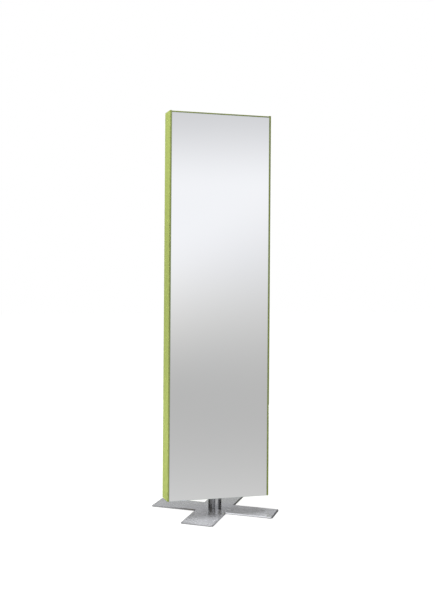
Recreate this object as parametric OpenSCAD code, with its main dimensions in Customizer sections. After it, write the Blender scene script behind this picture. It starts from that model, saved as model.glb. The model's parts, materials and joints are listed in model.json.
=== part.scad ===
// Full-length floor mirror that swivels on its foot.
// A slim lacquered case carries the mirror glass. It turns on a shaft inside a short steel
// column, which stands on a flat cross-shaped foot plate.
// Origin on the swivel axis at floor level, +Z up, glass side towards -Y, millimetres.

/* [Overall] */
// Height of the mirror above the floor
total_h = 1800; // [1500:10:2100]
// Width of the case
case_w = 480; // [380:5:620]
// Depth of the case, front edges to back
case_d = 85; // [66:1:120]
// Angle of the foot against the case at rest
foot_turn = -34.5; // [-90:0.5:90]

/* [Case boards] */
// Thickness of the two side boards
side_t = 8; // [6:0.5:14]
// Rounding of the long edges of the side boards
side_edge_r = 1; // [0.5:0.25:2]
// Thickness of the top board
top_t = 5; // [5:0.5:12]
// Height of the side boards above the top board
side_rise = 2; // [0:0.5:6]
// Thickness of the bottom board
bottom_t = 18; // [15:1:28]
// Thickness of the rear panel
rear_t = 6; // [4:0.5:8]
// Thickness of the backing board behind the glass
backing_t = 8; // [6:0.5:12]

/* [Glass] */
// Thickness of the mirror glass
glass_t = 4; // [3:0.5:6]
// Gap between the glass and the boards round it
glass_gap = 0.5; // [0.2:0.1:2]
// Depth of the glass face behind the front edges
glass_inset = 1; // [0:0.5:3]
// Thickness of the adhesive strips behind the glass
tape_t = 1; // [0.5:0.1:2]
// Width of an adhesive strip
tape_w = 25; // [15:1:40]
// Number of adhesive strips
tape_count = 4; // [3:1:6]
// Distance from the ends and sides of the glass to the strips
tape_margin = 30; // [15:1:60]

/* [Inner frame] */
// Width of the upright stiles
stile_w = 22; // [20:1:32]
// Thickness of the cross rails
rail_t = 18; // [15:1:28]
// Length of bearing tube that stands above the lower rail
bearing_above_rail = 30; // [5:5:80]
// Diameter of the frame dowels
dowel_d = 8; // [6:1:10]
// Length of the frame dowels
dowel_l = 32; // [24:1:36]
// Distance between the two dowels of a rail end
dowel_pitch = 20; // [16:1:24]
// Number of rear panel screws down each side
rear_screw_rows = 5; // [3:1:9]
// Height of the first and last rear panel screw from the ends of the case
rear_screw_margin = 60; // [30:5:120]
// Length of the rear panel screws
rear_screw_l = 16; // [14:1:18]
// Length of the bottom board screws
board_screw_l = 45; // [35:1:55]

/* [Foot] */
// Length of each bar of the cross
foot_span = 565; // [460:5:700]
// Width of the bars
arm_w = 145; // [110:5:180]
// Thickness of the foot plate
plate_t = 6; // [5:0.5:10]
// Rounding of the corners of the foot plate
arm_corner_r = 12; // [3:1:20]
// Width of the bevel round the top of the foot plate
bevel_w = 4.5; // [1:0.5:6]
// Height of the bevel round the top of the foot plate
bevel_h = 3; // [0.5:0.5:4]
// Diameter of the floor pads
pad_d = 22; // [14:1:30]
// Height of the floor pads below the plate
pad_proud = 1; // [0.5:0.25:4]
// Depth of the pads in the plate
pad_recess = 1.5; // [1:0.25:2.5]
// Distance from the edges of an arm to the middle of a pad
pad_inset = 20; // [16:1:32]

/* [Column] */
// Outer diameter of the column
column_d = 60; // [56:1:90]
// Wall of the column tube
column_wall = 3; // [2:0.5:5]
// Height of the column tube
column_h = 51; // [42:1:120]
// Thickness of the cap in the top of the column
cap_t = 8; // [5:1:12]
// Height of the hub in the foot of the column
hub_h = 24; // [18:1:28]
// Diameter of the circle of the foot screws
foot_screw_pcd = 40; // [38:1:42]
// Number of foot screws
foot_screw_count = 4; // [3:1:6]
// Length of the foot screws
foot_screw_l = 20; // [16:1:22]
// Length of the screw in the foot of the shaft
shaft_screw_l = 30; // [20:1:40]

/* [Swivel] */
// Diameter of the swivel shaft
shaft_d = 25; // [20:1:28]
// Radial running clearance of the shaft in its bushes
running_gap = 0.05; // [0.02:0.01:0.1]
// Wall of the bushes
bush_wall = 2.5; // [2:0.5:4]
// Height of a bush
bush_h = 30; // [20:1:60]
// Wall of the bearing tube
bearing_wall = 4; // [3:0.5:5]
// Height of the bearing tube
bearing_h = 300; // [200:5:500]
// Width of the bearing flange
flange_w = 120; // [90:5:200]
// Thickness of the bearing flange
flange_t = 6; // [5:0.5:8]
// Gap between the bearing flange and the rear panel
flange_gap = 2; // [1:0.5:3]
// Distance from the edges of the flange to its screws
flange_screw_inset = 10; // [8:1:12]
// Length of the flange screws
flange_screw_l = 18; // [14:1:20]
// Thickness of the thrust washer
thrust_t = 2; // [1.5:0.5:4]
// Outer diameter of the thrust washer
thrust_d = 50; // [40:1:54]
// End float of the case on the shaft
end_float = 0.5; // [0.2:0.1:1]
// Diameter of the keeper washer on top of the shaft
keeper_d = 36; // [34:1:40]
// Thickness of the keeper washer
keeper_t = 3; // [2:0.5:5]
// Diameter of the keeper bolt
keeper_bolt_d = 10; // [8:1:12]
// Length of the keeper bolt below its head
keeper_bolt_l = 30; // [20:1:40]

/* [Fits] */
// Clearance round screws and other pieces that fit without play
fit_gap = 0.05; // [0.02:0.01:0.1]
// Clearance round the dowels, for the glue
dowel_gap = 0.1; // [0.05:0.05:0.2]

/* [Hidden] */
$fn = 96;

// Overshoot of cuts past a face
cut = 1;

// Angle of the first foot screw from the arm that points along +X
first_foot_screw = 45;

// Countersunk screws: [shank diameter, head diameter, head height, recess width, recess depth]
wood_screw = [4, 8, 2.4, 4.4, 2];
board_screw = [5, 10, 3, 5.6, 2.4];
flange_screw = [4.5, 9, 2.7, 5, 2.2];
foot_screw = [6, 12, 3.3, 4.6, 2.4];
shaft_screw_size = [8, 16, 4.4, 5.8, 3.2];

// Width of the slots of a cross recess
cross_slot = 1.1;

// Keeper bolt head
bolt_head_d = 19.6;
bolt_head_h = 6.4;

// Heights
plate_z = pad_proud;
column_z = plate_z + plate_t;
column_top_z = column_z + column_h;
case_z = column_top_z + thrust_t;
bottom_board_z = case_z + flange_t;
bottom_board_top_z = bottom_board_z + bottom_t;
bearing_top_z = case_z + bearing_h;
shaft_top_z = bearing_top_z + end_float;
keeper_top_z = shaft_top_z + keeper_t;
case_h = total_h - case_z;
top_board_z = total_h - side_rise - top_t;
inner_h = top_board_z - case_z;
lower_rail_z = bearing_top_z - bearing_above_rail - rail_t;
upper_rail_z = top_board_z - rail_t;
middle_rail_z = (lower_rail_z + upper_rail_z) / 2;

// Depths: the back of the column is flush with the back of the case
back_y = column_d / 2;
front_y = back_y - case_d;
glass_y = front_y + glass_inset;
tape_y = glass_y + glass_t;
backing_y = tape_y + tape_t;
cavity_front_y = backing_y + backing_t;
cavity_back_y = back_y - rear_t;
cavity_d = cavity_back_y - cavity_front_y;
cavity_mid_y = (cavity_front_y + cavity_back_y) / 2;

// Widths
inner_w = case_w - 2 * side_t;
rail_w = inner_w - 2 * stile_w;
stile_mid_x = inner_w / 2 - stile_w / 2;
glass_w = inner_w - 2 * glass_gap;
glass_h = inner_h - glass_gap;

// Radii
shaft_r = shaft_d / 2;
bush_r = shaft_r + running_gap + bush_wall;
bearing_bore_r = bush_r + fit_gap;
bearing_r = bearing_bore_r + bearing_wall;
column_r = column_d / 2;
column_bore_r = column_r - column_wall;
flange_d = 2 * (cavity_back_y - flange_gap);
flange_screw_x = flange_w / 2 - flange_screw_inset;
flange_screw_y = flange_d / 2 - flange_screw_inset;
pad_long = foot_span / 2 - pad_inset;
pad_side = arm_w / 2 - pad_inset;

// Lacquer and stock colours
lacquer = [0.70, 0.76, 0.36];
steel = [0.62, 0.62, 0.62];
dark_steel = [0.35, 0.35, 0.36];
timber = [0.80, 0.66, 0.46];
fibreboard = [0.58, 0.45, 0.32];
nylon = [0.90, 0.89, 0.84];
rubber = [0.12, 0.12, 0.12];

// A box centred on X, from y and z upwards
module slab(w, y, d, z, h) {
    translate([-w / 2, y, z])
        cube([w, d, h]);
}

module ring(outer_r, inner_r, z, h) {
    translate([0, 0, z])
        difference() {
            cylinder(r = outer_r, h = h);
            translate([0, 0, -cut])
                cylinder(r = inner_r, h = h + 2 * cut);
        }
}

module rounded_rect(w, d, r) {
    square([w - 2 * r, d], center = true);
    square([w, d - 2 * r], center = true);
    for (x = [-1, 1], y = [-1, 1])
        translate([x * (w / 2 - r), y * (d / 2 - r)])
            circle(r = r);
}

// Countersunk screw from its head's face at the origin, pointing up; the child is its recess
module screw(size, l) {
    difference() {
        union() {
            cylinder(r1 = size[1] / 2, r2 = size[0] / 2, h = size[2]);
            cylinder(r = size[0] / 2, h = l);
        }
        children();
    }
}

// Recess of a machine screw
module hex_recess(size) {
    translate([0, 0, -cut])
        cylinder(d = size[3], h = size[4] + cut, $fn = 6);
}

// Recess of a wood screw
module cross_recess(size) {
    for (turn = [0, 90])
        rotate(turn)
            translate([-size[3] / 2, -cross_slot / 2, -cut])
                cube([size[3], cross_slot, size[4] + cut]);
}

// Hole for such a screw, wider by the fixed fit
module screw_hole(size, l) {
    shank_r = size[0] / 2 + fit_gap;
    cylinder(r1 = size[1] / 2 + fit_gap, r2 = shank_r, h = size[2]);
    translate([0, 0, -cut])
        cylinder(r = shank_r, h = l + cut + fit_gap);
}

// Places of the screws and pads
module at_foot_screws() {
    for (i = [0 : foot_screw_count - 1])
        rotate(foot_turn + first_foot_screw + i * 360 / foot_screw_count)
            translate([foot_screw_pcd / 2, 0, plate_z])
                children();
}

module at_pads() {
    for (i = [0 : 3], side = [-1, 1])
        rotate(foot_turn + i * 90)
            translate([pad_long, side * pad_side, 0])
                children();
}

module at_flange_screws() {
    for (x = [-1, 1], y = [-1, 1])
        translate([x * flange_screw_x, y * flange_screw_y, case_z])
            children();
}

module at_bottom_board_screws() {
    for (x = [-1, 1], y = [-1, 1])
        translate([x * stile_mid_x, cavity_mid_y + y * dowel_pitch / 2, bottom_board_z])
            children();
}

module at_rear_screws() {
    first_z = case_z + rear_screw_margin;
    step = (case_h - 2 * rear_screw_margin) / (rear_screw_rows - 1);
    for (x = [-1, 1], i = [0 : rear_screw_rows - 1])
        translate([x * stile_mid_x, back_y, first_z + i * step])
            rotate([90, 0, 0])
                children();
}

// The two dowels at each end of each rail, lying along X
module at_dowels() {
    for (z = [lower_rail_z, middle_rail_z, upper_rail_z], x = [-1, 1], y = [-1, 1])
        translate([x * rail_w / 2, cavity_mid_y + y * dowel_pitch / 2, z + rail_t / 2])
            rotate([0, 90, 0])
                children();
}

module dowel_holes() {
    at_dowels()
        cylinder(d = dowel_d + 2 * dowel_gap, h = dowel_l + 2 * dowel_gap, center = true);
}

// One bar of the cross, bevelled round its top
module foot_bar() {
    intersection() {
        linear_extrude(plate_t)
            rounded_rect(foot_span, arm_w, arm_corner_r);
        bevelled_prism(foot_span, arm_w);
        rotate(90)
            bevelled_prism(arm_w, foot_span);
    }
}

// A prism along X whose upper edges are bevelled
module bevelled_prism(l, w) {
    rotate([90, 0, 90])
        linear_extrude(l, center = true)
            polygon([
                [-w / 2, 0],
                [w / 2, 0],
                [w / 2, plate_t - bevel_h],
                [w / 2 - bevel_w, plate_t],
                [bevel_w - w / 2, plate_t],
                [-w / 2, plate_t - bevel_h]
            ]);
}

module foot_plate() {
    color(steel)
        difference() {
            translate([0, 0, plate_z])
                rotate(foot_turn) {
                    foot_bar();
                    rotate(90)
                        foot_bar();
                }
            at_foot_screws()
                screw_hole(foot_screw, foot_screw_l);
            translate([0, 0, plate_z])
                screw_hole(shaft_screw_size, shaft_screw_l);
            at_pads()
                cylinder(d = pad_d + 2 * fit_gap, h = pad_proud + pad_recess);
        }
}

module floor_pads() {
    color(rubber)
        at_pads()
            cylinder(d = pad_d, h = pad_proud + pad_recess);
}

module foot_screws() {
    color(dark_steel)
        at_foot_screws()
            screw(foot_screw, foot_screw_l)
                hex_recess(foot_screw);
}

module shaft_screw() {
    color(dark_steel)
        translate([0, 0, plate_z])
            screw(shaft_screw_size, shaft_screw_l)
                hex_recess(shaft_screw_size);
}

module column_hub() {
    color(dark_steel)
        difference() {
            ring(column_bore_r - fit_gap, shaft_r + fit_gap, column_z, hub_h);
            at_foot_screws()
                screw_hole(foot_screw, foot_screw_l);
        }
}

module column_tube() {
    color(steel)
        ring(column_r, column_bore_r, column_z, column_h);
}

module column_cap() {
    color(steel)
        ring(column_bore_r - fit_gap, shaft_r + fit_gap, column_top_z - cap_t, cap_t);
}

module swivel_shaft() {
    color(dark_steel)
        difference() {
            translate([0, 0, column_z])
                cylinder(r = shaft_r, h = shaft_top_z - column_z);
            translate([0, 0, plate_z])
                screw_hole(shaft_screw_size, shaft_screw_l);
            translate([0, 0, keeper_top_z - keeper_bolt_l - fit_gap])
                cylinder(d = keeper_bolt_d + 2 * fit_gap, h = keeper_bolt_l + cut);
        }
}

module thrust_washer() {
    color(nylon)
        ring(thrust_d / 2, shaft_r + running_gap, column_top_z, thrust_t);
}

module keeper_washer() {
    color(steel)
        ring(keeper_d / 2, keeper_bolt_d / 2 + fit_gap, shaft_top_z, keeper_t);
}

module keeper_bolt() {
    color(dark_steel) {
        translate([0, 0, keeper_top_z])
            cylinder(d = bolt_head_d, h = bolt_head_h, $fn = 6);
        translate([0, 0, keeper_top_z - keeper_bolt_l])
            cylinder(d = keeper_bolt_d, h = keeper_bolt_l);
    }
}

module bearing_housing() {
    color(dark_steel)
        difference() {
            union() {
                slab(flange_w, -flange_d / 2, flange_d, case_z, flange_t);
                translate([0, 0, case_z])
                    cylinder(r = bearing_r, h = bearing_h);
            }
            translate([0, 0, case_z - cut])
                cylinder(r = bearing_bore_r, h = bearing_h + 2 * cut);
            at_flange_screws()
                screw_hole(flange_screw, flange_screw_l);
        }
}

module lower_bush() {
    color(nylon)
        ring(bush_r, shaft_r + running_gap, case_z, bush_h);
}

module upper_bush() {
    color(nylon)
        ring(bush_r, shaft_r + running_gap, bearing_top_z - bush_h, bush_h);
}

module flange_screws() {
    color(steel)
        at_flange_screws()
            screw(flange_screw, flange_screw_l)
                cross_recess(flange_screw);
}

// Bore of the bearing tube through the bottom board and the lower rail
module bearing_hole() {
    translate([0, 0, case_z])
        cylinder(r = bearing_r + fit_gap, h = bearing_h);
}

module bottom_board() {
    color(fibreboard)
        difference() {
            slab(inner_w, cavity_front_y, cavity_d, bottom_board_z, bottom_t);
            bearing_hole();
            at_flange_screws()
                screw_hole(flange_screw, flange_screw_l);
            at_bottom_board_screws()
                screw_hole(board_screw, board_screw_l);
        }
}

module bottom_board_screws() {
    color(steel)
        at_bottom_board_screws()
            screw(board_screw, board_screw_l)
                cross_recess(board_screw);
}

// Upright on the side given by -1 for left or 1 for right
module stile(side) {
    color(timber)
        difference() {
            translate([side * stile_mid_x, 0, 0])
                slab(stile_w, cavity_front_y, cavity_d, bottom_board_top_z,
                    top_board_z - bottom_board_top_z);
            dowel_holes();
            at_rear_screws()
                screw_hole(wood_screw, rear_screw_l);
            at_bottom_board_screws()
                screw_hole(board_screw, board_screw_l);
        }
}

module left_stile() {
    stile(-1);
}

module right_stile() {
    stile(1);
}

module rail(z) {
    color(timber)
        difference() {
            slab(rail_w, cavity_front_y, cavity_d, z, rail_t);
            dowel_holes();
        }
}

module lower_rail() {
    color(timber)
        difference() {
            rail(lower_rail_z);
            bearing_hole();
        }
}

module middle_rail() {
    rail(middle_rail_z);
}

module upper_rail() {
    rail(upper_rail_z);
}

module frame_dowels() {
    color(timber)
        at_dowels()
            cylinder(d = dowel_d, h = dowel_l, center = true);
}

// Side board on the side given by -1 for left or 1 for right
module side_board(side) {
    color(lacquer)
        translate([side * (case_w - side_t) / 2, (front_y + back_y) / 2, case_z])
            linear_extrude(case_h)
                rounded_rect(side_t, case_d, side_edge_r);
}

module left_side_board() {
    side_board(-1);
}

module right_side_board() {
    side_board(1);
}

module top_board() {
    color(lacquer)
        slab(inner_w, front_y, case_d, top_board_z, top_t);
}

module backing_board() {
    color(fibreboard)
        slab(inner_w, backing_y, backing_t, case_z, inner_h);
}

module mirror_tape() {
    step = (glass_w - 2 * tape_margin - tape_w) / (tape_count - 1);
    color(rubber)
        for (i = [0 : tape_count - 1])
            translate([i * step - (glass_w - tape_w) / 2 + tape_margin, 0, 0])
                slab(tape_w, tape_y, tape_t, case_z + tape_margin, glass_h - 2 * tape_margin);
}

module mirror_glass() {
    color([0.86, 0.87, 0.88])
        slab(glass_w, glass_y, glass_t, case_z, glass_h);
}

module rear_panel() {
    color(lacquer)
        difference() {
            slab(inner_w, cavity_back_y, rear_t, case_z, inner_h);
            at_rear_screws()
                screw_hole(wood_screw, rear_screw_l);
        }
}

module rear_panel_screws() {
    color(steel)
        at_rear_screws()
            screw(wood_screw, rear_screw_l)
                cross_recess(wood_screw);
}

foot_plate();
floor_pads();
foot_screws();
shaft_screw();
column_hub();
column_tube();
column_cap();
swivel_shaft();
thrust_washer();
keeper_washer();
keeper_bolt();
bearing_housing();
lower_bush();
upper_bush();
flange_screws();
bottom_board();
bottom_board_screws();
left_stile();
right_stile();
lower_rail();
middle_rail();
upper_rail();
frame_dowels();
left_side_board();
right_side_board();
top_board();
backing_board();
mirror_tape();
mirror_glass();
rear_panel();
rear_panel_screws();
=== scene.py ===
import json
import math

import bpy
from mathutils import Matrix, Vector


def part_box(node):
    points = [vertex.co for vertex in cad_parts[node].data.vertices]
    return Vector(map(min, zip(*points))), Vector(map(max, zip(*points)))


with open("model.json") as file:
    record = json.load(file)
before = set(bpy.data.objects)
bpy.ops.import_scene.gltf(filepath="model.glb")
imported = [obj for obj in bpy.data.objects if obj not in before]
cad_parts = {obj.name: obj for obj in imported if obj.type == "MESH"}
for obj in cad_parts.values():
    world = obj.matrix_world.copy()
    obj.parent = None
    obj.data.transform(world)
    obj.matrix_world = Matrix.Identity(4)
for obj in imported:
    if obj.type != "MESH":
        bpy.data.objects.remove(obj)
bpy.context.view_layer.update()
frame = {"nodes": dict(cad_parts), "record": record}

# Swivelling floor mirror: the finishes of its pieces, a plain studio and the camera.
# Metres, in the model's own frame: +Z up along the swivel axis, the mirror faces -Y.

# ---------------------------------------------------------------- camera

CAMERA_PLACE = (-1.221, -3.676, 1.057)
CAMERA_YAW = math.radians(15.23)       # from +Y towards +X
CAMERA_ROLL = math.radians(0.417)      # clockwise as the picture shows it
CAMERA_LENS = 50.21                    # mm
CAMERA_SENSOR = 36                     # mm along the picture's long side
PICTURE_HEIGHT = 606                   # pixels
# The photo is a cropped frame: its lens axis lies this many pixels right of and above the middle.
LENS_AXIS = (-47.5, 25.7)

# ---------------------------------------------------------------- colours (linear)

LIME = (0.452, 0.532, 0.150)
LIME_DEEP = (0.432, 0.512, 0.142)
LIME_RUBBED = (0.500, 0.575, 0.210)
SILVER = (0.935, 0.940, 0.940)
SILVER_FILM = (0.945, 0.945, 0.940)
SILVER_RIM = (0.700, 0.760, 0.730)
GLASS_EDGE = (0.100, 0.240, 0.180)
GLASS_EDGE_PALE = (0.300, 0.480, 0.400)
MIRROR_BACK = (0.230, 0.240, 0.250)
MIRROR_BACK_DARK = (0.170, 0.178, 0.185)
STAINLESS = (0.545, 0.547, 0.555)
STAINLESS_DARK = (0.450, 0.451, 0.458)
TUBE = (0.480, 0.482, 0.490)
TUBE_DARK = (0.400, 0.401, 0.408)
TURNED = (0.480, 0.475, 0.465)
TURNED_DARK = (0.330, 0.325, 0.320)
ZINC = (0.660, 0.670, 0.690)
ZINC_WARM = (0.560, 0.550, 0.500)
POWDER = (0.045, 0.045, 0.048)
POWDER_PALE = (0.080, 0.080, 0.085)
NYLON = (0.780, 0.760, 0.690)
NYLON_SHADE = (0.690, 0.670, 0.590)
RUBBER = (0.022, 0.022, 0.023)
RUBBER_PALE = (0.045, 0.045, 0.046)
FOAM = (0.050, 0.050, 0.052)
# painted shade: the darker colour of the foam's pores
FOAM_PAINTED_SHADE = (0.012, 0.012, 0.013)
FIBRE = (0.360, 0.250, 0.150)
FIBRE_DARK = (0.240, 0.155, 0.085)
PINE = (0.660, 0.450, 0.250)
PINE_DARK = (0.480, 0.270, 0.120)
WHITE = (1.0, 1.0, 1.0)

# ---------------------------------------------------------------- places on the object

FOOT_TURN = math.radians(-34.5)        # two arms of the plate, and its brushing, lie at this angle
GLASS_LOW, GLASS_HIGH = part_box("mirror_glass")
CASE_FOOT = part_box("left_side_board")[0][2]
RUBBED_HEIGHT = 0.12                   # the lacquer is rubbed up to here above the case's foot
RIM_WIDTH = 0.003                      # greenish rim of the silver
GLASS_FACING = 0.7                     # a normal with Y beyond this is of the glass's front or back
GLASS_EDGE_BLEND = 0.1                 # the roughness of the edges sets in over this much of that Y

# Sockets of a Mix node that mixes colours
COLOUR_A, COLOUR_B, COLOUR_RESULT = 6, 7, 2
NOISE_RANGE = (0.3, 0.7)               # the noise texture seldom goes below or above these


class Nodes:
    """A node tree and short calls that add to it; a value is a number, a colour or an output."""

    def __init__(self, tree):
        self.tree = tree
        tree.nodes.clear()

    def add(self, kind, **settings):
        node = self.tree.nodes.new("ShaderNode" + kind)
        for name, value in settings.items():
            setattr(node, name, value)
        return node

    def feed(self, socket, value):
        """A constant or a link for the input socket."""
        if isinstance(value, bpy.types.NodeSocket):
            self.tree.links.new(value, socket)
        elif socket.type == "RGBA" and len(value) == 3:
            socket.default_value = (*value, 1.0)
        else:
            socket.default_value = value

    def math(self, operation, *values):
        node = self.add("Math", operation=operation)
        for socket, value in zip(node.inputs, values):
            self.feed(socket, value)
        return node.outputs["Value"]

    def span(self, value, start, end, low=0.0, high=1.0, smooth=False):
        """From low to high while value goes from start to end, and constant beyond."""
        node = self.add("MapRange", interpolation_type="SMOOTHSTEP" if smooth else "LINEAR")
        for name, number in zip(("Value", "From Min", "From Max", "To Min", "To Max"),
                                (value, start, end, low, high)):
            self.feed(node.inputs[name], number)
        return node.outputs["Result"]

    def stairs(self, value, level, steps):
        """level, changed by smooth steps of (start, end, change) as value grows."""
        for start, end, change in steps:
            step = self.span(value, start, end, 0.0, change, smooth=True)
            level = self.math("ADD", level, step)
        return level

    def between(self, share, low, high):
        """Number from low to high as share goes from 0 to 1."""
        node = self.add("Mix", data_type="FLOAT")
        for name, value in zip(("Factor", "A", "B"), (share, low, high)):
            self.feed(node.inputs[name], value)
        return node.outputs["Result"]

    def blend(self, share, low, high):
        """Colour from low to high as share goes from 0 to 1."""
        node = self.add("Mix", data_type="RGBA")
        self.feed(node.inputs["Factor"], share)
        self.feed(node.inputs[COLOUR_A], low)
        self.feed(node.inputs[COLOUR_B], high)
        return node.outputs[COLOUR_RESULT]

    def weighted(self, first, first_weight, second, second_weight):
        """Sum of two values, each times its weight."""
        return self.math("ADD", self.math("MULTIPLY", first, first_weight),
                         self.math("MULTIPLY", second, second_weight))

    def length(self, x, y):
        """Distance of the point x, y from 0, 0."""
        return self.math("SQRT", self.weighted(x, x, y, y))

    def level_axes(self, x, y):
        """How far a place or direction is to the right of and behind the swivel axis.

        The studio is laid out along these two axes, which stay fixed to the model.
        """
        along, aside = math.cos(CAMERA_YAW), math.sin(CAMERA_YAW)
        return self.weighted(x, along, y, -aside), self.weighted(x, aside, y, along)

    def axes(self, vector):
        """X, Y and Z of a vector."""
        node = self.add("SeparateXYZ")
        self.feed(node.inputs["Vector"], vector)
        return [node.outputs[name] for name in "XYZ"]


class Finish(Nodes):
    """A Principled material whose details are made from the object's own coordinates, in metres."""

    def __init__(self, name, metallic=0.0, **constants):
        self.material = bpy.data.materials.new(name)
        self.material.use_nodes = True
        super().__init__(self.material.node_tree)
        self.surface = self.add("BsdfPrincipled")
        self.feed(self.surface.inputs["Metallic"], metallic)
        for socket, value in constants.items():
            self.feed(self.surface.inputs[socket.replace("_", " ")], value)
        output = self.add("OutputMaterial")
        self.feed(output.inputs["Surface"], self.surface.outputs["BSDF"])
        self.coordinates = self.add("TexCoord")

    def place(self):
        """X, Y and Z of a point of the surface."""
        return self.axes(self.coordinates.outputs["Object"])

    def facing(self):
        """X, Y and Z of the surface's normal."""
        return self.axes(self.coordinates.outputs["Normal"])

    def set(self, name, value):
        """A constant or a link for the named input of the surface."""
        self.feed(self.surface.inputs[name], value)

    def cells(self, per_metre, turn=0.0):
        """Object coordinates turned about Z by -turn, in cells per metre along each axis."""
        turned = self.add("Mapping", vector_type="TEXTURE")
        turned.inputs["Rotation"].default_value = (0, 0, turn)
        self.feed(turned.inputs["Vector"], self.coordinates.outputs["Object"])
        counted = self.add("VectorMath", operation="MULTIPLY")
        self.feed(counted.inputs[0], turned.outputs["Vector"])
        self.feed(counted.inputs[1], per_metre)
        return counted.outputs["Vector"]

    def noise(self, per_metre, turn=0.0, detail=3.0, roughness=0.5):
        """Soft noise, from 0 to 1 and about 0.5 on average."""
        texture = self.add("TexNoise")
        texture.inputs["Scale"].default_value = 1.0
        texture.inputs["Detail"].default_value = detail
        texture.inputs["Roughness"].default_value = roughness
        self.feed(texture.inputs["Vector"], self.cells(per_metre, turn))
        return self.span(texture.outputs["Fac"], *NOISE_RANGE)

    def pores(self, per_metre):
        """Distance from the middles of scattered cells, 0 in a middle."""
        texture = self.add("TexVoronoi")
        texture.inputs["Scale"].default_value = 1.0
        self.feed(texture.inputs["Vector"], self.cells(per_metre))
        return texture.outputs["Distance"]

    def relief(self, height, depth):
        """Relief in which height 0 to 1 stands for depth metres."""
        bump = self.add("Bump")
        bump.inputs["Distance"].default_value = depth
        self.feed(bump.inputs["Height"], height)
        self.set("Normal", bump.outputs["Normal"])


def even(value):
    """The same along X, Y and Z, or in red, green and blue."""
    return (value, value, value)


# ---------------------------------------------------------------- finishes

def lacquer():
    """Satin sprayed lacquer: faint drift of tone, orange peel, and rub marks near the floor."""
    f = Finish("lime_lacquer", Specular_IOR_Level=0.35, Coat_Weight=0.15, Coat_Roughness=0.3)
    tone = f.blend(f.noise(even(4), detail=2), LIME_DEEP, LIME)
    height = f.place()[2]
    near_floor = f.span(height, CASE_FOOT, CASE_FOOT + RUBBED_HEIGHT, 1.0, 0.0)
    rubs = f.span(f.noise((90, 90, 9), detail=5, roughness=0.7), 0.65, 0.95)
    rubbed = f.math("MULTIPLY", near_floor, rubs)
    f.set("Base Color", f.blend(f.math("MULTIPLY", rubbed, 0.5), tone, LIME_RUBBED))
    satin = f.between(f.noise(even(35)), 0.40, 0.48)
    f.set("Roughness", f.math("ADD", satin, f.math("MULTIPLY", rubbed, 0.12)))
    f.relief(f.noise(even(320), detail=1), depth=0.00001)
    return f.material


def silvered_glass():
    """Silvered face with a faint film, a green rim and edges, and a painted back."""
    f = Finish("silvered_glass")
    facing_y = f.facing()[1]
    front = f.math("LESS_THAN", facing_y, -GLASS_FACING)
    back = f.math("GREATER_THAN", facing_y, GLASS_FACING)
    x, _, z = f.place()
    from_side = f.math("SUBTRACT", GLASS_HIGH[0], f.math("ABSOLUTE", x))
    from_end = f.math("MINIMUM", f.math("SUBTRACT", GLASS_HIGH[2], z),
                      f.math("SUBTRACT", z, GLASS_LOW[2]))
    rim = f.span(f.math("MINIMUM", from_side, from_end), 0.0, RIM_WIDTH, 1.0, 0.0)
    film = f.noise((3, 3, 2), detail=5)
    silver = f.blend(rim, f.blend(film, SILVER, SILVER_FILM), SILVER_RIM)
    edge = f.blend(f.noise((40, 400, 40)), GLASS_EDGE, GLASS_EDGE_PALE)
    paint = f.blend(f.noise(even(9)), MIRROR_BACK, MIRROR_BACK_DARK)
    f.set("Base Color", f.blend(front, f.blend(back, edge, paint), silver))
    f.set("Metallic", front)
    wipes = f.between(f.noise((25, 25, 4), detail=4), 0.004, 0.016)
    dull = f.span(facing_y, -GLASS_FACING, GLASS_EDGE_BLEND - GLASS_FACING, 0.0, 0.2)
    f.set("Roughness", f.math("ADD", wipes, dull))
    return f.material


def brushed_steel(name, tones, coarse_cells, turn, rough, streak, gloss):
    """Satin stainless steel: fine and coarse brushing, cloudy patches and faint scuffs.

    The brushing runs at the angle turn from +X and draws reflections out across itself by streak.
    gloss is the share of the light that it reflects; the rest it scatters.
    """
    f = Finish(name, metallic=gloss, Anisotropic=streak, Specular_IOR_Level=0.1)
    across = f.add("CombineXYZ")
    f.feed(across.inputs["X"], -math.sin(turn))
    f.feed(across.inputs["Y"], math.cos(turn))
    f.set("Tangent", across.outputs["Vector"])
    fine = f.noise([15 * cells for cells in coarse_cells], turn, detail=4, roughness=0.65)
    coarse = f.noise(coarse_cells, turn, detail=3, roughness=0.6)
    brushing = f.weighted(fine, 0.5, coarse, 0.5)
    clouds = f.noise(even(16), detail=3)
    scuffs = f.span(f.noise(even(70), detail=6, roughness=0.75), 0.75, 1.0)
    f.set("Base Color", f.blend(brushing, *tones))
    sheen = f.math("ADD", f.span(brushing, 0.2, 0.8, *rough), f.between(clouds, -0.02, 0.03))
    f.set("Roughness", f.math("ADD", sheen, f.math("MULTIPLY", scuffs, 0.08)))
    f.relief(fine, depth=0.000006)
    return f.material


def plate_steel():
    """The foot plate, brushed along two of its arms."""
    return brushed_steel("brushed_plate", (STAINLESS_DARK, STAINLESS), (2, 90, 90), FOOT_TURN,
                         rough=(0.20, 0.27), streak=0.95, gloss=0.66)


def column_steel():
    """The column's tube, brushed round and round."""
    return brushed_steel("brushed_column", (TUBE_DARK, TUBE), (4, 4, 110), 0.0,
                         rough=(0.10, 0.16), streak=0.0, gloss=1.0)


def turned_steel():
    """Lathe rings with a trace of oil."""
    f = Finish("turned_steel", metallic=1.0)
    rings = f.noise((4, 4, 1600), detail=3)
    f.set("Base Color", f.blend(rings, TURNED_DARK, TURNED))
    f.set("Roughness", f.between(f.noise(even(60), detail=4), 0.18, 0.36))
    f.relief(rings, depth=0.00001)
    return f.material


def zinc_plating():
    """Bright zinc with warm patches of passivation."""
    f = Finish("zinc_plating", metallic=1.0)
    f.set("Base Color", f.blend(f.noise(even(220), detail=4), ZINC_WARM, ZINC))
    f.set("Roughness", f.between(f.noise(even(500), detail=5), 0.16, 0.32))
    f.relief(f.noise(even(1500), detail=2), depth=0.000008)
    return f.material


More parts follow.
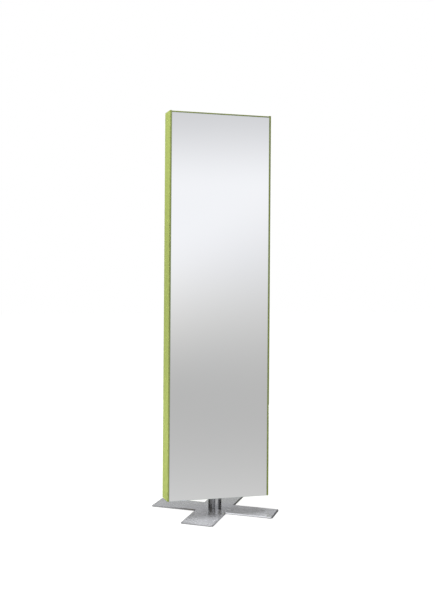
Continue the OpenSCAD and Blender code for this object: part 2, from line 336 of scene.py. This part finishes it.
def powder_coat():
    """Black powder coat with a fine pebbled skin."""
    f = Finish("powder_coat")
    pebbles = f.pores(even(700))
    f.set("Base Color", f.blend(f.noise(even(120), detail=4), POWDER, POWDER_PALE))
    f.set("Roughness", f.span(pebbles, 0.0, 0.8, 0.38, 0.55))
    f.relief(f.math("SUBTRACT", 1.0, pebbles), depth=0.00006)
    return f.material


def nylon():
    """Natural bearing plastic, turned, slightly yellowed in patches."""
    f = Finish("bearing_plastic", Specular_IOR_Level=0.45)
    f.set("Base Color", f.blend(f.noise(even(70), detail=4), NYLON_SHADE, NYLON))
    rings = f.noise((6, 6, 1200), detail=2)
    f.set("Roughness", f.between(rings, 0.34, 0.46))
    f.relief(rings, depth=0.000015)
    return f.material


def rubber():
    """Matt black rubber with a dusty bloom."""
    f = Finish("rubber", Specular_IOR_Level=0.3)
    bloom = f.noise(even(260), detail=5, roughness=0.7)
    f.set("Base Color", f.blend(bloom, RUBBER, RUBBER_PALE))
    f.set("Roughness", f.between(bloom, 0.72, 0.88))
    f.relief(f.noise(even(900), detail=2), depth=0.00005)
    return f.material


def foam_tape():
    """Closed-cell foam: pale walls round pores that are painted dark, as painted shade in their
    hollows.
    """
    f = Finish("foam_tape", Specular_IOR_Level=0.2)
    walls = f.span(f.pores(even(1600)), 0.1, 0.6)
    # painted shade: the pores' hollows are darker than the walls
    f.set("Base Color", f.blend(walls, FOAM_PAINTED_SHADE, FOAM))
    f.set("Roughness", f.between(walls, 0.95, 0.8))
    f.relief(walls, depth=0.00015)
    return f.material


def fibreboard():
    """Bare fibreboard: felted short fibres with darker specks."""
    f = Finish("fibreboard", Specular_IOR_Level=0.25)
    felt = f.noise((350, 350, 900), detail=5, roughness=0.7)
    specks = f.span(f.pores(even(420)), 0.0, 0.25, 0.6, 0.0)
    f.set("Base Color", f.blend(specks, f.blend(felt, FIBRE_DARK, FIBRE), FIBRE_DARK))
    f.set("Roughness", f.between(felt, 0.72, 0.86))
    f.relief(felt, depth=0.00008)
    return f.material


def softwood(name, along):
    """Planed softwood with its grain along the given axis, 0 for X or 2 for Z."""
    f = Finish(name, Specular_IOR_Level=0.3)
    ring_cells = [110.0, 110.0, 110.0]
    ring_cells[along] = 2.5
    rings = f.noise(ring_cells, detail=4, roughness=0.55)
    fibres = f.noise([8 * cells for cells in ring_cells], detail=3, roughness=0.6)
    grain = f.weighted(rings, 0.7, fibres, 0.3)
    f.set("Base Color", f.blend(grain, PINE_DARK, PINE))
    f.set("Roughness", f.span(grain, 0.2, 0.8, 0.68, 0.52))
    f.relief(fibres, depth=0.00004)
    return f.material


def dress_nodes():
    """The finish of its record slot for every CAD node; cross timbers have their grain along X."""
    finishes = {
        "lacquer": lacquer(),
        "mirror": silvered_glass(),
        "brushed_plate": plate_steel(),
        "brushed_column": column_steel(),
        "machined_steel": turned_steel(),
        "screw_steel": zinc_plating(),
        "housing_paint": powder_coat(),
        "bearing_plastic": nylon(),
        "pad_rubber": rubber(),
        "tape_foam": foam_tape(),
        "fibreboard": fibreboard(),
        "timber": softwood("softwood_upright", along=2),
    }
    cross_timber = softwood("softwood_cross", along=0)
    for row in frame["record"]["subparts"]:
        mesh = frame["nodes"][row["node"]].data
        lies_across = row["node"].endswith("_rail") or row["node"] == "frame_dowels"
        mesh.materials.clear()
        mesh.materials.append(cross_timber if lies_across else finishes[row["material_slot"]])


# ---------------------------------------------------------------- studio

SOFT_LIGHT = 0.38                      # even light from all round on matt surfaces

# What mirror and metal see, by the height of a direction, from -1 straight down to 1 straight up:
# the level straight down, then smooth steps as (start, end, change of level).
FRONT_DOWN = 1.09
FRONT_DIP = (-0.50, -0.146, -0.583)    # from the bright floor down to the dark foot of the backdrop
FRONT_RISE = (-0.142, 0.467)           # start and change of the step up to the bright band
FRONT_RISE_END = (0.014, 0.116)        # its end, at the left and at the right of the bright band
FRONT_SIDES = (0.200, 0.370)           # the X of those two directions
FRONT_FALL = (0.102, 0.208, -0.30)     # from the bright band to the upper backdrop
FRONT_CANOPY = (0.20, 0.27, 0.10)      # up again to a lit canopy
FRONT_LAMPS = ((0.30, 0.36, 1.5),      # up to the lamps over the canopy
               (0.60, 0.70, -1.5))     # and down again above them
FRONT_TOP = (0.80, 0.95, 1.9)          # up to the lamp overhead
BACK_DOWN = 0.40
BACK_RISE = (-0.10, 0.20, 0.48)        # from the floor up to the backdrop
BACK_FALL = (0.70, 0.95, -0.80)        # down to the dark overhead
FRONT_TO_BACK = (0.0, 0.2)             # how far back a direction points where front gives way to back
BAND_TINT = (0.972, 0.981, 1.018)      # cool tint of the bright band and all above it
BAND_HEIGHT = (-0.07, 0.045)           # height of a direction at which that tint sets in

# Dark screens round the set, as the share of the light that they leave. In front of the object they
# go by how far right a level direction points, from -1 to 1, and behind it by how straight back.
SCREENS_LEFT = 0.30                    # straight to the left, then smooth steps as above
SCREENS_FRONT = ((-0.85, -0.60, 0.25), (-0.42, -0.30, -0.47),
                 (-0.05, 0.12, 0.92), (0.80, 1.00, -0.97))
SCREENS_BACK = 0.03                    # beside the gap through which the back light comes
SCREENS_GAP = (0.94, 0.985)            # from its edge to where it is fully open
SCREENS_HEIGHT = (0.55, 0.80)          # height of a direction at which the screens fade out

FLOOR_SIZE = 40
FLOOR_TONE = 0.5                       # grey, for the bounced light and the object's shadow
FLOOR_GLOW = 0.82                      # added for the camera, so that the floor shows white

# The floor round the foot as mirror and metal see it glows with painted light and shade: brighter to
# the right, with a painted shadow behind the column
NEAR_SIDES = (-0.15, 0.12)             # from this far right of the swivel axis to this far
NEAR_PAINTED_LEVELS = (0.30, 0.90)             # the painted light levels there
NEAR_PAINTED_SHADOW = 0.03                       # level of the painted shadow behind the column
NEAR_SHADOW_BACK = (0.02, 0.05)          # painted shadow from this far behind the axis
NEAR_SHADOW_RIGHT = (0.00, 0.05)         # and from this far right of it
NEAR_RADII = (0.20, 0.27)              # where the studio takes over

# Lamps: place, what they point at, width and height, and watts
SOFTBOXES = {
    "left_softbox": ((-3.2, 0.9, 1.1), (0, 0, 0.9), (1.6, 2.2), 56),
    "upper_strip": ((-0.9, -0.38, 1.8), (-0.24, -0.05, 1.8), (0.12, 0.4), 3),
    "lower_strip": ((-0.9, -0.38, 0.2), (-0.24, -0.05, 0.2), (0.12, 0.4), 2.8),
    "back_softbox": ((1.8, 2.8, 0.7), (0, 0, 1.0), (2.0, 1.3), 50),
}


def studio_world():
    """Even light for matt surfaces, a backdrop for mirror and metal, white behind the object."""
    world = bpy.data.worlds.new("studio")
    bpy.context.scene.world = world
    world.use_nodes = True
    world.cycles.sampling_method = "NONE"
    w = Nodes(world.node_tree)
    rays = w.add("LightPath").outputs
    x, y, z = w.axes(w.add("TexCoord").outputs["Generated"])

    rise_start, rise_change = FRONT_RISE
    rise_end = w.span(x, *FRONT_SIDES, *FRONT_RISE_END)
    front = w.stairs(z, FRONT_DOWN, (FRONT_DIP, (rise_start, rise_end, rise_change), FRONT_FALL,
                                     FRONT_CANOPY, *FRONT_LAMPS, FRONT_TOP))
    back = w.stairs(z, BACK_DOWN, (BACK_RISE, BACK_FALL))
    level_part = w.length(x, y)
    rightwards, backwards = (w.math("DIVIDE", part, level_part) for part in w.level_axes(x, y))
    is_back = w.span(backwards, *FRONT_TO_BACK, smooth=True)
    level = w.between(is_back, front, back)

    screens = w.between(is_back, w.stairs(rightwards, SCREENS_LEFT, SCREENS_FRONT),
                        w.span(backwards, *SCREENS_GAP, SCREENS_BACK, 1.0, smooth=True))
    above_screens = w.span(w.math("ABSOLUTE", z), *SCREENS_HEIGHT, smooth=True)
    level = w.math("MULTIPLY", level, w.between(above_screens, screens, 1.0))
    backdrop = w.add("VectorMath", operation="SCALE")
    w.feed(backdrop.inputs[0], w.blend(w.span(z, *BAND_HEIGHT, smooth=True), WHITE, BAND_TINT))
    w.feed(backdrop.inputs["Scale"], level)

    light = w.blend(rays["Is Glossy Ray"], even(SOFT_LIGHT), backdrop.outputs["Vector"])
    sees_white = w.math("MAXIMUM", rays["Is Camera Ray"], rays["Is Transmission Ray"])
    background = w.add("Background")
    w.feed(background.inputs["Color"], w.blend(sees_white, light, WHITE))
    w.feed(w.add("OutputWorld").inputs["Surface"], background.outputs["Background"])


def floor():
    """White with the object's shadow for the camera; for mirror and metal it shows only round the
    foot, where it glows with painted light and a painted shadow.
    """
    bpy.ops.mesh.primitive_plane_add(size=FLOOR_SIZE, location=(0, 0, 0))
    plane = bpy.context.object
    plane.name = "studio_floor"
    material = bpy.data.materials.new("floor_white")
    material.use_nodes = True
    plane.data.materials.append(material)
    f = Nodes(material.node_tree)
    rays = f.add("LightPath").outputs
    x, y, _ = f.axes(f.add("TexCoord").outputs["Object"])
    right, back = f.level_axes(x, y)

    matt = f.add("BsdfDiffuse")
    f.feed(matt.inputs["Color"], even(FLOOR_TONE))
    glow = f.add("Emission")
    f.feed(glow.inputs["Strength"], f.math("MULTIPLY", rays["Is Camera Ray"], FLOOR_GLOW))
    lit = f.add("AddShader")
    f.feed(lit.inputs[0], matt.outputs["BSDF"])
    f.feed(lit.inputs[1], glow.outputs["Emission"])

    # Painted shadow behind and right of the column, and painted light brighter to the right: for
    # mirror and metal the floor round the foot glows with them.
    dark = f.math("MINIMUM", f.span(back, *NEAR_SHADOW_BACK), f.span(right, *NEAR_SHADOW_RIGHT))
    painted_light_level = f.span(right, *NEAR_SIDES, *NEAR_PAINTED_LEVELS, smooth=True)
    near = f.add("Emission")
    f.feed(near.inputs["Strength"], f.between(dark, painted_light_level, NEAR_PAINTED_SHADOW))
    reflected = f.add("MixShader")
    f.feed(reflected.inputs["Fac"], f.span(f.length(x, y), *NEAR_RADII, smooth=True))
    f.feed(reflected.inputs[1], near.outputs["Emission"])
    f.feed(reflected.inputs[2], f.add("BsdfTransparent").outputs["BSDF"])

    both = f.add("MixShader")
    f.feed(both.inputs["Fac"], rays["Is Glossy Ray"])
    f.feed(both.inputs[1], lit.outputs["Shader"])
    f.feed(both.inputs[2], reflected.outputs["Shader"])
    f.feed(f.add("OutputMaterial").inputs["Surface"], both.outputs["Shader"])


def softbox(name, place, aim, size, watts):
    """A lamp for matt surfaces; camera, mirror and metal do not see it."""
    light = bpy.data.lights.new(name, "AREA")
    light.shape = "RECTANGLE"
    light.size, light.size_y = size
    light.energy = watts
    lamp = bpy.data.objects.new(name, light)
    bpy.context.scene.collection.objects.link(lamp)
    lamp.location = place
    lamp.rotation_euler = (Vector(aim) - Vector(place)).to_track_quat("-Z", "Y").to_euler()
    lamp.visible_camera = False
    lamp.visible_glossy = False


def camera():
    """The photo's camera, as fitted to the object's edges."""
    data = bpy.data.cameras.new("camera")
    data.lens = CAMERA_LENS
    data.sensor_width = CAMERA_SENSOR
    data.shift_x, data.shift_y = (-pixels / PICTURE_HEIGHT for pixels in LENS_AXIS)
    eye = bpy.data.objects.new("camera", data)
    bpy.context.scene.collection.objects.link(eye)
    eye.location = CAMERA_PLACE
    eye.rotation_euler = (math.radians(90), -CAMERA_ROLL, -CAMERA_YAW)
    bpy.context.scene.camera = eye


camera()
dress_nodes()
studio_world()
floor()
for name, settings in SOFTBOXES.items():
    softbox(name, *settings)
bpy.context.scene.view_settings.view_transform = "Standard"
